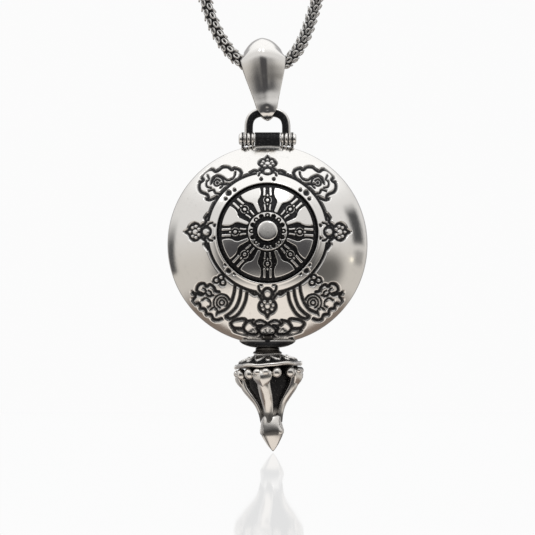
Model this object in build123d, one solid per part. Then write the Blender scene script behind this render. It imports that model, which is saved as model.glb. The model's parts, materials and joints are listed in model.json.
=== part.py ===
from build123d import *
import math
import os

# A hinged silver prayer-box locket with a turning dharma wheel, hung from a bail on a woven chain.
# Millimetres. The pendant is drawn about the locket's centre, its front towards -Y, and is then
# hung DROP below the origin, which is the centre of the neck loop. The chain is drawn in place.

# Driving dimensions: the locket
DROP = 53.6
LOCKET_R = 15.0
LOCKET_HALF = 7.5
EDGE_HALF = 0.6
WALL = 0.7
SEAM = 0.03
BEZEL_R = 14.05
BEZEL_WALL = 0.6
BEZEL_STAND = 0.5

# Driving dimensions: the wheel in the front shell
WHEEL_TILT = 3.4
WHEEL_R = 7.2
WHEEL_THICK = 0.5
SEAT_R = 7.75
SEAT_BOSS_R = 8.5
SEAT_WALL = 0.65
AXLE_R = 0.9
AXLE_HEAD_R = 1.5
HUB_RING_R = 2.9
HUB_RING_HIGH = 0.3
RUNNING = 0.05

# Driving dimensions: hinge, shackle and bail
HINGE_Z = 15.95
KNUCKLE_R = 1.05
PIN_R = 0.45
BARREL_HALF = 1.95
EYE_IN, EYE_OUT = 2.0, 3.45
EAR_IN, EAR_OUT = 3.5, 3.95
HEAD_R, HEAD_LONG = 0.85, 0.4
BOW_WIDE = 1.3
LEG_X = 2.775
BOW_SPRING_Z = 17.0
BOW_Z = BOW_SPRING_Z + LEG_X
BAIL_PIVOT_Z = 27.45

# Driving dimensions: bottom lugs and the screwed half vajra
BOSS_X, BOSS_Y = 4.1, 2.5
BOSS_TOP, BOSS_LOW = -14.0, -15.5
SOCKET_R = 1.6
SOCKET_TOP = -12.8
SHANK_R = 1.1
SHANK_TOP = -13.4
FORK_TOP, FORK_LOW = -15.6, -16.0
FORK_HALF = 2.0
WASHER_R = 1.9
WASHER_TOP, WASHER_LOW = -16.05, -16.35
CANOPY_TOP, CANOPY_LOW = -16.4, -18.35
CANOPY_R = 5.05
PRONG_R = 0.6
PRONG_TURN = 13.0
BUD_TOP, BUD_LOW, TIP_Z = -25.6, -28.5, -30.9

# Driving dimensions: the paper roll inside
SCROLL_R, SCROLL_LONG, SCROLL_Y = 2.5, 22.0, 0.74

# Driving dimensions: the chain, its coil and its clasp
CHAIN_D = 1.95
COIL_R = 11.5
COIL_HALF = 8.0
TIE_THICK = 0.35
CAP_R, CAP_LONG, CAP_ANGLE = 1.2, 2.2, 35.0
LINK_R, LINK_WIRE = 0.62, 0.22
CLASP_Z = 14.0
CLASP_EYE_X = -3.4
HOOK_X, HOOK_R, HOOK_WIRE = 0.45, 1.6, 0.38
TRIGGER_PIVOT = (-1.3, 13.1)
RIVET_R = 0.22

# The route of the hanging stretch, from the coil on the left, through the bail, to the coil on the
# right, as corner points that arcs round off
STRAND = [
    (-11.2, -7.0, -2.6),
    (-10.1, -5.6, -9.0),
    (-8.7, -3.4, -16.5),
    (-7.3, -1.3, -22.6),
    (-3.3, 0.0, -26.9),
    (2.6, 0.0, -26.9),
    (6.5, 1.3, -22.6),
    (7.75, 3.4, -16.5),
    (9.8, 5.6, -9.0),
    (11.2, 7.0, -2.6),
]
# The route of one chain end, from the coil's left side up to its cap
CHAIN_END = [
    (-10.9, -1.0, -3.9),
    (-12.45, -0.95, 0.6),
    (-12.9, -0.55, 5.15),
    (-10.75, 0.0, 9.2),
    (-7.0, 0.0, 11.83),
]

DOME_RISE = LOCKET_HALF - EDGE_HALF
DOME_R = (LOCKET_R**2 + DOME_RISE**2) / (2 * DOME_RISE)
DOME_Y = DOME_R - LOCKET_HALF
TO_AXLE = Pos(0, DOME_Y, 0) * Rot(-WHEEL_TILT, 0, 0) * Pos(0, -DOME_Y, 0)


def save(name, shape, lift=-DROP):
    """Writes one sub-part, moved up by lift."""
    export_step(Pos(0, 0, lift) * shape, f"parts/{name}.step")


def along_x(radius, start, end, y=0.0, z=0.0):
    """A cylinder along X from start to end."""
    rod = Cylinder(radius, end - start, rotation=(0, 90, 0))
    return Pos((start + end) / 2, y, z) * rod


def along_y(radius, start, end, x=0.0, z=0.0):
    """A cylinder along Y from start to end."""
    rod = Cylinder(radius, end - start, rotation=(90, 0, 0))
    return Pos(x, (start + end) / 2, z) * rod


def along_z(radius, low, high):
    """A cylinder along Z from low to high, on the pendant's axis."""
    return Pos(0, 0, (low + high) / 2) * Cylinder(radius, high - low)


def block(x, y, z):
    """A box between pairs of limits."""
    size = [high - low for low, high in (x, y, z)]
    centre = [(high + low) / 2 for low, high in (x, y, z)]
    return Pos(*centre) * Box(*size)


def ring(radius, wire, axis, centre):
    """A round wire ring whose hole looks along axis."""
    return Plane(origin=centre, z_dir=axis) * Torus(radius, wire)


def turned(points, axis):
    """A solid of revolution from the corners of its half section."""
    return revolve(make_face(Polyline(*points, close=True)), axis=axis)


def on_sphere(radius, sphere):
    """The place at a radius from the dome's axis on a sphere about the dome's centre."""
    return (radius, DOME_Y - math.sqrt(sphere**2 - radius**2))


def cap_ring(inner, outer, low, high):
    """A ring cut from a spherical shell about the dome's centre, on the front of the locket."""
    middle = (inner + outer) / 2
    upper = ThreePointArc(on_sphere(inner, high), on_sphere(middle, high), on_sphere(outer, high))
    lower = ThreePointArc(on_sphere(outer, low), on_sphere(middle, low), on_sphere(inner, low))
    sides = Line(upper @ 1, lower @ 0) + Line(lower @ 1, upper @ 0)
    return revolve(make_face(upper + lower + sides), axis=Axis.Y)


def half_lens(inset):
    """The solid front half of the locket's outer form, made smaller by inset."""
    sphere = DOME_R - inset
    edge_r = LOCKET_R - inset
    edge_y = on_sphere(edge_r, sphere)[1]
    nose = on_sphere(0, sphere)
    arc = ThreePointArc(nose, on_sphere(edge_r / 2, sphere), (edge_r, edge_y))
    rest = Polyline((edge_r, edge_y), (edge_r, -SEAM), (0, -SEAM), nose)
    return revolve(make_face(arc + rest), axis=Axis.Y)


def shell():
    """One dished half of the case, facing -Y."""
    return half_lens(0) - half_lens(WALL)


def front_shell():
    """The front half: the wheel's round seat, relief for the hinge and a notch for the screw."""
    boss = cap_ring(0.0, SEAT_BOSS_R, DOME_R - WHEEL_THICK - RUNNING - SEAT_WALL, DOME_R - WALL + 0.1)
    recess = cap_ring(0.0, SEAT_R, DOME_R - WHEEL_THICK - RUNNING, DOME_R + 1.0)
    bore = along_y(AXLE_R, -LOCKET_HALF - 1, 0)
    front = shell() + TO_AXLE * boss - TO_AXLE * recess - TO_AXLE * bore
    relief = along_x(KNUCKLE_R + 0.1, BARREL_HALF, EAR_OUT + 0.1, z=HINGE_Z)
    notch_wide = SOCKET_R + 0.1
    notch = block((-notch_wide, notch_wide), (-notch_wide - 0.05, 0.1), (-15.5, SOCKET_TOP + 0.2))
    return front - relief - mirror(relief, Plane.YZ) - notch


def back_shell():
    """The plain back half, relieved under the hinge's centre barrel and let in for the socket."""
    relief = along_x(KNUCKLE_R + 0.1, -BARREL_HALF - 0.1, BARREL_HALF + 0.1, z=HINGE_Z)
    return mirror(shell(), Plane.XZ) - relief - along_z(SOCKET_R, -16, SOCKET_TOP)


def bezel_rim():
    """The inner rim soldered in the back shell, which the front shell closes over."""
    inner = BEZEL_R - BEZEL_WALL
    seat = LOCKET_R - WALL
    foot = 0.33
    points = [(inner, -BEZEL_STAND), (BEZEL_R, -BEZEL_STAND), (BEZEL_R, SEAM), (seat, SEAM),
              (seat, foot), (inner, foot)]
    return turned(points, Axis.Y) - along_z(SOCKET_R, -16, SOCKET_TOP)


def front_knuckle():
    """The hinge's centre barrel, with the tab that is soldered to the front shell."""
    barrel = along_x(KNUCKLE_R, -BARREL_HALF, BARREL_HALF, z=HINGE_Z)
    tab = block((-BARREL_HALF, BARREL_HALF), (-KNUCKLE_R, -0.06), (14.2, HINGE_Z))
    bore = along_x(PIN_R + RUNNING, -BARREL_HALF - 1, BARREL_HALF + 1, z=HINGE_Z)
    return barrel + tab - half_lens(0) - bore


def hinge_lug():
    """The right-hand lug on the back shell: an ear on the pin and a foot behind the shackle's eye."""
    ear = along_x(KNUCKLE_R, EAR_IN, EAR_OUT, z=HINGE_Z)
    post = block((EAR_IN, EAR_OUT), (0.06, KNUCKLE_R), (13.4, HINGE_Z))
    foot = block((BARREL_HALF + 0.1, EAR_OUT), (0.06, 1.5), (13.2, 14.75))
    bore = along_x(PIN_R, EAR_IN - 1, EAR_OUT + 1, z=HINGE_Z)
    return ear + post + foot - mirror(half_lens(0), Plane.XZ) - bore


def hinge_pin():
    """The hinge's rivet, headed at both ends."""
    pin = along_x(PIN_R, -EAR_OUT, EAR_OUT, z=HINGE_Z)
    head = along_x(HEAD_R, EAR_OUT, EAR_OUT + HEAD_LONG, z=HINGE_Z)
    head = fillet(head.edges().filter_by(GeomType.CIRCLE).sort_by(Axis.X)[-1], 0.3)
    return pin + head + mirror(head, Plane.YZ)


def shackle():
    """The U-shaped bow between the bail and the hinge, with an eye at each foot."""
    rise = Line((-LEG_X, 0, HINGE_Z), (-LEG_X, 0, BOW_SPRING_Z))
    arc = ThreePointArc((-LEG_X, 0, BOW_SPRING_Z), (0, 0, BOW_Z), (LEG_X, 0, BOW_SPRING_Z))
    fall = Line((LEG_X, 0, BOW_SPRING_Z), (LEG_X, 0, HINGE_Z))
    path = Wire([rise, arc, fall])
    section = Plane(origin=(-LEG_X, 0, HINGE_Z), z_dir=(0, 0, 1)) * RectangleRounded(
        BOW_WIDE, BOW_WIDE, 0.35)
    bow = sweep(section, path=path)
    eye = along_x(KNUCKLE_R, EYE_IN, EYE_OUT, z=HINGE_Z)
    bore = along_x(PIN_R + RUNNING, -EAR_OUT, EAR_OUT, z=HINGE_Z)
    return bow + eye + mirror(eye, Plane.YZ) - bore


def egg(stations):
    """A closed form lofted through ellipses given as height, half width and half depth."""
    faces = [Pos(0, 0, z) * Ellipse(wide, deep) for z, wide, deep in stations]
    return loft(faces)


def bail():
    """The spoon-shaped leaf that folds over the chain and closes round the shackle's bow."""
    outer = egg([(18.4, 0.25, 0.8), (19.1, 0.8, 1.35), (20.4, 1.5, 1.5), (23.0, 2.0, 1.75),
                 (26.0, 2.9, 2.2), (28.3, 3.45, 2.45), (29.8, 2.75, 2.1), (30.6, 1.6, 1.3),
                 (30.9, 0.5, 0.4)])
    hollow = egg([(21.3, 0.7, 0.6), (23.0, 1.4, 1.15), (26.0, 2.3, 1.68), (28.3, 2.85, 1.95),
                  (29.5, 2.2, 1.6), (30.2, 0.7, 0.5)])
    slot_r = CHAIN_D / 2 + 0.6
    low_r, low_z = 0.5, 22.6
    slot_face = make_face(Polyline((slot_r, BAIL_PIVOT_Z), (low_r, low_z), (-low_r, low_z),
                                   (-slot_r, BAIL_PIVOT_Z), close=True))
    slot = extrude(Plane.YZ * slot_face, 5, both=True)
    slot = slot + along_x(slot_r, -5, 5, z=BAIL_PIVOT_Z) + along_x(low_r, -5, 5, z=low_z)
    waist, flare, half = 0.98, 1.36, 1.7
    grip = [(-half, 0), (-half, flare), (-0.3, waist), (0.3, waist), (half, flare), (half, 0)]
    throat = Pos(0, 0, BOW_Z) * turned(grip, Axis.X)
    return outer - hollow - slot - throat


def half_boss():
    """The front half of the oval lip at the locket's bottom, clear of the seam."""
    oval = extrude(Pos(0, 0, BOSS_LOW) * Ellipse(BOSS_X, BOSS_Y), BOSS_TOP - BOSS_LOW)
    return oval & block((-9, 9), (-9, -0.06), (-20, 0))


def socket_boss():
    """The back shell's half lip, with the closed threaded socket that the vajra screws into."""
    lip = mirror(half_boss(), Plane.XZ) - mirror(half_lens(0), Plane.XZ)
    bridge = block((-SOCKET_R, SOCKET_R), (-0.5, 0.5), (-15.3, -15.06))
    tube = along_z(SOCKET_R, BOSS_LOW, SOCKET_TOP)
    bore = along_z(SHANK_R + RUNNING, BOSS_LOW - 1, SOCKET_TOP - 0.4)
    return lip + bridge + tube - bore


def front_lug():
    """The front shell's half lip, with the fork that the vajra's washer clamps."""
    wide = SOCKET_R + 0.1
    way = block((-wide, wide), (-wide - 0.05, 1), (BOSS_LOW - 0.05, 0))
    lip = half_boss() - half_lens(0) - way
    drop = block((-FORK_HALF, FORK_HALF), (-BOSS_Y + 0.1, -wide - 0.06), (FORK_LOW, BOSS_LOW + 0.2))
    fork = block((-FORK_HALF, FORK_HALF), (-BOSS_Y + 0.1, 1.3), (FORK_LOW, FORK_TOP))
    slot_half = SHANK_R + 0.1
    slot = block((-slot_half, slot_half), (0, 3), (-17, -15)) + along_z(slot_half, -17, -15)
    return lip + drop + fork - slot


def wheel_disc():
    """The dharma wheel's dished disc, which turns in its seat."""
    return TO_AXLE * cap_ring(AXLE_R + RUNNING, WHEEL_R, DOME_R - WHEEL_THICK, DOME_R)


def hub_ring():
    """The raised beaded ring soldered round the wheel's hub."""
    return TO_AXLE * cap_ring(AXLE_HEAD_R + 0.1, HUB_RING_R, DOME_R, DOME_R + HUB_RING_HIGH)


def wheel_axle():
    """The rivet that the wheel turns on: a domed head outside and a peened end inside."""
    shaft = along_y(AXLE_R, -LOCKET_HALF - RUNNING, -5.85)
    head_y = -LOCKET_HALF - RUNNING
    crown = 0.55
    arc = ThreePointArc((0, head_y - crown), (AXLE_HEAD_R * 0.62, head_y - crown * 0.72),
                        (AXLE_HEAD_R, head_y))
    head = revolve(make_face(arc + Polyline((AXLE_HEAD_R, head_y), (0, head_y), (0, head_y - crown))),
                   axis=Axis.Y)
    peened = along_y(AXLE_R + 0.35, -5.85, -5.5)
    return TO_AXLE * (shaft + head + peened)


def axle_washer():
    """The flat washer under the rivet's peened end, inside the front shell."""
    return TO_AXLE * (along_y(2.0, -6.17, -5.85) - along_y(AXLE_R, -7, -5))


def mantra_scroll():
    """The rolled paper that the case is made to hold, standing against the back shell."""
    roll = along_z(SCROLL_R, -SCROLL_LONG / 2, SCROLL_LONG / 2)
    eye = along_z(0.35, -SCROLL_LONG, SCROLL_LONG)
    return Pos(0, SCROLL_Y, 0) * (roll - eye)


def scroll_thread():
    """The thread tied round the roll's middle."""
    band = along_z(SCROLL_R + 0.3, -0.6, 0.6) - along_z(SCROLL_R, -1, 1)
    return Pos(0, SCROLL_Y, 0) * band


def neck_washer():
    """The collar that the vajra's shoulder presses up against the fork."""
    return along_z(WASHER_R, WASHER_LOW, WASHER_TOP) - along_z(SHANK_R + RUNNING, -17, -15)


def vajra_canopy():
    """The scrolled canopy at the head of the half vajra."""
    points = [(SHANK_R, CANOPY_TOP), (2.3, CANOPY_TOP), (2.5, -16.75), (4.75, -17.65),
              (CANOPY_R, -17.8), (CANOPY_R, -18.2), (4.8, CANOPY_LOW), (SHANK_R, CANOPY_LOW)]
    return turned([(r, 0, z) for r, z in points], Axis.Z)


def vajra_shank():
    """The threaded shank above the canopy."""
    return along_z(SHANK_R, CANOPY_LOW, SHANK_TOP)


def vajra_core():
    """The central stem with its faceted bud and four-sided spike."""
    stem = along_z(0.8, BUD_TOP - 0.5, CANOPY_LOW)
    girdle = -27.2
    widths = [(BUD_TOP - 0.5, 2.0), (BUD_TOP - 0.9, 2.6), (girdle, 3.3), (BUD_LOW, 2.9),
              (TIP_Z + 0.9, 1.2), (TIP_Z, 0.25)]
    faces = [Pos(0, 0, z) * Rot(0, 0, 45 - PRONG_TURN) * RectangleRounded(w, w, w * 0.2)
             for z, w in widths]
    return stem + loft(faces, ruled=True)


def vajra_prong(turn):
    """One curved prong with a knob at its head, turned about the vajra's axis."""
    points = [(3.7, 0, CANOPY_LOW - 0.05), (4.15, 0, -20.4), (3.4, 0, -22.8), (1.95, 0, -24.9),
              (1.75, 0, -26.0)]
    path = FilletPolyline(*points, radius=1.2)
    section = Plane(origin=path @ 0, z_dir=path % 0) * Circle(PRONG_R)
    knob = Pos(4.2, 0, -19.65) * Sphere(0.95)
    jaw = Pos(3.9, 0, -20.9) * Sphere(0.8)
    return Rot(0, 0, turn) * (sweep(section, path=path) + knob + jaw)


def cord_tube(points):
    """A round tube along straight runs joined by the largest arcs that the runs allow."""
    corners = [Vector(*point) for point in points]
    runs = [after - before for before, after in zip(corners, corners[1:])]
    radii = []
    for before, after in zip(runs, runs[1:]):
        half_turn = math.radians(before.get_angle(after) / 2)
        radii.append(0.45 * min(before.length, after.length) / math.tan(half_turn))
    path = FilletPolyline(*corners, radius=radii)
    section = Plane(origin=path @ 0, z_dir=path % 0) * Circle(CHAIN_D / 2)
    tube = sweep(section, path=path)
    print("arc radii", [round(radius, 1) for radius in radii], "length", round(path.length, 1),
          "volume over section times length", tube.volume / (math.pi * CHAIN_D**2 / 4 * path.length))
    return tube


def chain_coil():
    """The outer form of the six turns of put-away chain."""
    half = CHAIN_D / 2
    section = Pos(COIL_R, 0) * RectangleRounded(2 * half, 2 * COIL_HALF, half * 0.9)
    return revolve(section, axis=Axis.Y)


def chain_tie():
    """The thread band round the coil's lowest point."""
    gap = 0.04
    deep, wide = CHAIN_D / 2 + gap, COIL_HALF + gap
    outer = Box(0.9, 2 * (wide + TIE_THICK), 2 * (deep + TIE_THICK))
    return Pos(0, 0, -COIL_R) * (outer - Box(2, 2 * wide, 2 * deep))


def cap_eye():
    """The place of the left cap's eye, where the first jump ring hangs."""
    lean = math.radians(25)
    reach = 1.7
    return (CLASP_EYE_X - reach * math.cos(lean), 0, CLASP_Z - reach * math.sin(lean))


def end_cap():
    """The left chain end's tubular cap, with its wire eye."""
    centre = Vector(*cap_eye())
    lean = math.radians(CAP_ANGLE)
    along = Vector(math.cos(lean), 0, math.sin(lean))
    mouth = Plane(origin=centre - along * (LINK_R + 0.1 + CAP_LONG), z_dir=along)
    tube = mouth * (Pos(0, 0, CAP_LONG / 2) * Cylinder(CAP_R, CAP_LONG))
    bore = mouth * (Pos(0, 0, 0.75) * Cylinder(CHAIN_D / 2, 1.6))
    return tube - bore + ring(LINK_R, LINK_WIRE, (0, 1, 0), centre)


def jump_ring(left, right):
    """A wire ring standing across two places that it links."""
    left, right = Vector(*left), Vector(*right)
    span = right - left
    return ring(span.length / 2, 0.2, span.cross(Vector(0, 1, 0)).normalized(), (left + right) / 2)


def clasp_body():
    """The lobster clasp's body: eye, slotted shank and open hook."""
    eye = ring(LINK_R, LINK_WIRE, (0, 1, 0), (CLASP_EYE_X, 0, CLASP_Z))
    shank = block((-2.95, -0.75), (-0.62, 0.62), (12.95, 14.45))
    slot = block((-2.4, 0), (-0.32, 0.32), (12, 13.95))
    start, end = 168, -32
    arc = CenterArc((0, 0, 0), HOOK_R, end, start - end)
    arc = Pos(HOOK_X, 0, CLASP_Z) * Rot(90, 0, 0) * arc
    section = Plane(origin=arc @ 0, z_dir=arc % 0) * Circle(HOOK_WIRE)
    hook = sweep(section, path=arc)
    rivet_hole = along_y(RIVET_R, -2, 2, *TRIGGER_PIVOT)
    return eye + (shank - slot) + (hook - slot) - rivet_hole


def clasp_trigger():
    """The sprung gate that shuts the hook."""
    x, z = TRIGGER_PIVOT
    bar = block((x - 0.35, 1.5), (-0.27, 0.27), (z - 0.24, z + 0.2))
    boss = along_y(0.4, -0.27, 0.27, x, z)
    return bar + boss - along_y(RIVET_R + 0.03, -1, 1, x, z)


def clasp_spring():
    """The little spring between the clasp's body and its gate."""
    return Pos(-0.98, 0, 13.68) * (Cylinder(0.2, 0.5) - Cylinder(0.1, 1))


def mirrored_end(shape):
    """The other chain end's piece: the same one turned half round the Z axis."""
    return Rot(0, 0, 180) * shape


def save_case():
    """Writes the locket's two halves, its hinge and what it holds."""
    save("back_shell", back_shell())
    save("bezel_rim", bezel_rim())
    save("socket_boss", socket_boss())
    save("hinge_lug_right", hinge_lug())
    save("hinge_lug_left", mirror(hinge_lug(), Plane.YZ))
    save("hinge_pin", hinge_pin())
    save("front_shell", front_shell())
    save("front_knuckle", front_knuckle())
    save("front_lug", front_lug())
    save("mantra_scroll", mantra_scroll())
    save("scroll_thread", scroll_thread())


def save_wheel():
    """Writes the wheel and its axle."""
    save("wheel_disc", wheel_disc())
    save("hub_ring", hub_ring())
    save("wheel_axle", wheel_axle())
    save("axle_washer", axle_washer())


def save_vajra():
    """Writes the half vajra that screws up under the locket."""
    save("neck_washer", neck_washer())
    save("vajra_shank", vajra_shank())
    save("vajra_canopy", vajra_canopy())
    save("vajra_core", vajra_core())
    for number in range(4):
        save(f"vajra_prong_{number + 1}", vajra_prong(90 * number - PRONG_TURN))


def save_chain():
    """Writes the chain, its coil and tie, and the clasp that closes it."""
    end = cord_tube(CHAIN_END)
    save("necklace_chain", cord_tube(STRAND), 0)
    save("chain_end_a", end, 0)
    save("chain_end_b", mirrored_end(end), 0)
    save("chain_coil", chain_coil(), 0)
    save("chain_tie", chain_tie(), 0)
    save("end_cap_a", end_cap(), 0)
    save("end_cap_b", mirrored_end(end_cap()), 0)
    eye_x, eye_y, eye_z = cap_eye()
    save("jump_ring_a", jump_ring((eye_x, eye_y, eye_z), (CLASP_EYE_X, 0, CLASP_Z)), 0)
    save("jump_ring_b", jump_ring((1.1, 0, 14.55), (-eye_x, eye_y, eye_z)), 0)
    save("clasp_body", clasp_body(), 0)
    save("clasp_trigger", clasp_trigger(), 0)
    save("clasp_rivet", along_y(RIVET_R, -0.72, 0.72, *TRIGGER_PIVOT), 0)
    save("clasp_spring", clasp_spring(), 0)


os.makedirs("parts", exist_ok=True)
save_case()
save_wheel()
save("shackle", shackle())
save("bail", bail())
save_vajra()
save_chain()
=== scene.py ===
import bpy
import json
import math
import numpy as np
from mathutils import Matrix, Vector


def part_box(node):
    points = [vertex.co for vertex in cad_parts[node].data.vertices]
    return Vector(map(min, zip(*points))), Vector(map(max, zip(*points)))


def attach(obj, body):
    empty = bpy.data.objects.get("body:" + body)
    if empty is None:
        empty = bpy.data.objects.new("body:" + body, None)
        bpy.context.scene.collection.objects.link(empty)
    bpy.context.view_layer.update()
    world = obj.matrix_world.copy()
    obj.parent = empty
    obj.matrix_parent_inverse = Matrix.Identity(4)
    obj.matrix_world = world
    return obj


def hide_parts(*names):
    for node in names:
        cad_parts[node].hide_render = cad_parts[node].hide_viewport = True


# A hinged silver prayer-box locket with a turning dharma wheel, on a woven chain.
# Blender works in metres; the relief is drawn in millimetres and turned into metres by MM.
MM = 0.001

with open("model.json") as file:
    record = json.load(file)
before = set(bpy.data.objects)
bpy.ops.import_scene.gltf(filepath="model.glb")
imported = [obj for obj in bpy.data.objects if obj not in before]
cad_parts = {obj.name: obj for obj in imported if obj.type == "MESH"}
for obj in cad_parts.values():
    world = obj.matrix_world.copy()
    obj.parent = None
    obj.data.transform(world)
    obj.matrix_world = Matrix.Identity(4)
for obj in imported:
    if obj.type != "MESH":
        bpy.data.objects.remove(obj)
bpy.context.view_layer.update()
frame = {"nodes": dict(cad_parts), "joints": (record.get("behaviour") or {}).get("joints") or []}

# ---- places and sizes that the CAD frame gives ----
shell_low, shell_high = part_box("front_shell")
LOCKET_R = (shell_high[0] - shell_low[0]) / 2 / MM
LOCKET_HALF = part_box("back_shell")[1][1] / MM
EDGE_HALF = 0.6
DOME_RISE = LOCKET_HALF - EDGE_HALF
DOME_R = (LOCKET_R**2 + DOME_RISE**2) / (2 * DOME_RISE)
DOME_Y = DOME_R - LOCKET_HALF
WHEEL_JOINT = next(joint for joint in frame["joints"] if joint["name"] == "wheel_spin")
AXLE = np.array(WHEEL_JOINT["axis"])
CENTRE_Z = WHEEL_JOINT["pos_m"][2] / MM
AXLE_UP = np.cross((1.0, 0.0, 0.0), AXLE) * -1.0
WALL = 0.7
SEAT_R = 7.75
SEAT_DEEP = 0.55
LIP_R = 7.45
WHEEL_R = 7.2


# ---- small tools ----
def put_in(name, data):
    """An object of some data, put into the scene."""
    obj = bpy.data.objects.new(name, data)
    bpy.context.scene.collection.objects.link(obj)
    return obj


def new_mesh(name, verts, faces, smooth=True):
    """A mesh object from points in millimetres and faces."""
    mesh = bpy.data.meshes.new(name)
    mesh.from_pydata([tuple(v) for v in np.asarray(verts) * MM], [], [tuple(f) for f in faces])
    mesh.validate()
    if smooth:
        mesh.polygons.foreach_set("use_smooth", [True] * len(mesh.polygons))
    mesh.update()
    return put_in(name, mesh)


def big_mesh(name, verts, quads):
    """A smooth mesh object from many points in millimetres and quads, made quickly."""
    mesh = bpy.data.meshes.new(name)
    verts = np.asarray(verts, dtype=np.float64) * MM
    quads = np.asarray(quads, dtype=np.int32)
    mesh.vertices.add(len(verts))
    mesh.vertices.foreach_set("co", verts.ravel())
    mesh.loops.add(quads.size)
    mesh.loops.foreach_set("vertex_index", quads.ravel())
    mesh.polygons.add(len(quads))
    mesh.polygons.foreach_set("loop_start", np.arange(len(quads), dtype=np.int32) * 4)
    mesh.polygons.foreach_set("use_smooth", np.full(len(quads), True))
    mesh.update(calc_edges=True)
    mesh.validate()
    return put_in(name, mesh)


def grid_faces(rows, columns, wrap=True, start=0):
    """Quads between rows of columns points, joined round where wrap is true."""
    i = np.arange(rows - 1)[:, None]
    j = np.arange(columns if wrap else columns - 1)[None, :]
    after = (j + 1) % columns
    quads = np.stack([i * columns + j, i * columns + after, (i + 1) * columns + after,
                      (i + 1) * columns + j], -1).reshape(-1, 4)
    return quads + start


def ring_faces(rows, columns):
    """Quads between rings of points, and from the last ring back to the first."""
    back = grid_faces(2, columns)
    last = (rows - 1) * columns
    close = np.where(back < columns, back + last, back - columns)
    return np.concatenate([grid_faces(rows, columns), close])


def full_turn(count):
    """Angles evenly round a circle."""
    return np.linspace(0, 2 * math.pi, count, endpoint=False)


def level_ring(theta, wide, deep, z):
    """A level oval of points at one height."""
    return np.stack([wide * np.cos(theta), deep * np.sin(theta), z + 0 * theta], 1)


def squared(theta, power):
    """What a circle's points are divided by, at each angle, to square the circle off."""
    return (np.abs(np.cos(theta)) ** power + np.abs(np.sin(theta)) ** power) ** (1 / power)


def turned(points, degrees):
    """Points turned about the upright axis."""
    c, s = math.cos(math.radians(degrees)), math.sin(math.radians(degrees))
    x, y, z = points[..., 0], points[..., 1], points[..., 2]
    return np.stack([x * c - y * s, x * s + y * c, z], -1)


def patina_and_painted_shade(obj, values):
    """Stores how black each point of a mesh is, from 0, bright, to 1, black: patina in most places,
    painted shade in a few.
    """
    layer = obj.data.attributes.new("patina_and_painted_shade", "FLOAT", "POINT")
    layer.data.foreach_set("value", np.clip(values, 0, 1).astype(np.float32))


def smooth_step(x):
    """0 below 0, 1 above 1, and smooth between."""
    x = np.clip(x, 0, 1)
    return x * x * (3 - 2 * x)


def rounded(points, steps=6):
    """Points along a Catmull-Rom curve through a few given points."""
    p = [np.array(q, float) for q in points]
    p = [2 * p[0] - p[1]] + p + [2 * p[-1] - p[-2]]
    out = []
    for a, b, c, d in zip(p, p[1:], p[2:], p[3:]):
        for k in range(steps):
            t = k / steps
            out.append(0.5 * (2 * b + (c - a) * t + (2 * a - 5 * b + 4 * c - d) * t**2
                              + (3 * b - a - 3 * c + d) * t**3))
    out.append(p[-2])
    return np.array(out)


def arc_points(centre, radius, start, end):
    """Points along an arc, its angles in degrees."""
    angle = np.radians(np.linspace(start, end, 18))
    return np.stack([centre[0] + radius * np.cos(angle), centre[1] + radius * np.sin(angle)], 1)


def line_distance(a, b, path):
    """The distance of each point (a, b) from a run of straight pieces."""
    best = np.full(a.shape, 1e9)
    for (x0, y0), (x1, y1) in zip(path, path[1:]):
        dx, dy = x1 - x0, y1 - y0
        size = dx * dx + dy * dy
        if size < 1e-12:
            continue
        t = np.clip(((a - x0) * dx + (b - y0) * dy) / size, 0, 1)
        best = np.minimum(best, (a - x0 - t * dx) ** 2 + (b - y0 - t * dy) ** 2)
    return np.sqrt(best)


def stroke(a, b, path, width):
    """1 along a drawn line and 0 away from it. Only points near the line are worked out."""
    path = np.asarray(path)
    low, high = path.min(0) - width, path.max(0) + width
    near = (a > low[0]) & (a < high[0]) & (b > low[1]) & (b < high[1])
    out = np.zeros(a.shape)
    if near.any():
        distance = line_distance(a[near], b[near], path)
        out[near] = smooth_step((width - distance) / (width * 0.55) + 0.25)
    return out


def dot(a, b, centre, radius):
    """1 inside a small round pit and 0 outside."""
    distance = np.hypot(a - centre[0], b - centre[1])
    return smooth_step((radius - distance) / (radius * 0.5) + 0.3)


# ---- materials ----
class Nodes:
    """A short way to write a material's or a world's node tree."""

    def __init__(self, tree):
        self.tree = tree

    def add(self, kind, sockets=(), **settings):
        node = self.tree.nodes.new(kind)
        for key, value in settings.items():
            setattr(node, key, value)
        for key, value in dict(sockets).items():
            if isinstance(value, bpy.types.NodeSocket):
                self.tree.links.new(value, node.inputs[key])
            else:
                node.inputs[key].default_value = value
        return node

    def link(self, value, shader, socket):
        self.tree.links.new(value, shader.inputs[socket])

    def math(self, operation, *values, clamp=False):
        node = self.add("ShaderNodeMath", enumerate(values), operation=operation, use_clamp=clamp)
        return node.outputs[0]

    def plus(self, first, second):
        return self.math("ADD", first, second)

    def times(self, first, second):
        return self.math("MULTIPLY", first, second)

    def mix(self, factor, first, second):
        node = self.add("ShaderNodeMix", {0: factor, 6: first, 7: second}, data_type="RGBA")
        return node.outputs[2]

    def ramp(self, value, low, high):
        node = self.add("ShaderNodeMapRange", {0: value, 1: low, 2: high, 3: 0.0, 4: 1.0},
                        interpolation_type="SMOOTHSTEP")
        return node.outputs[0]

    def noise(self, vector, scale, detail, rough):
        node = self.add("ShaderNodeTexNoise", {"Vector": vector, "Scale": scale, "Detail": detail,
                                               "Roughness": rough})
        return node.outputs["Fac"]

    def bump(self, height, strength, shader):
        node = self.add("ShaderNodeBump", {"Height": height, "Strength": strength,
                                           "Distance": 0.05 * MM})
        self.link(node.outputs[0], shader, "Normal")


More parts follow.
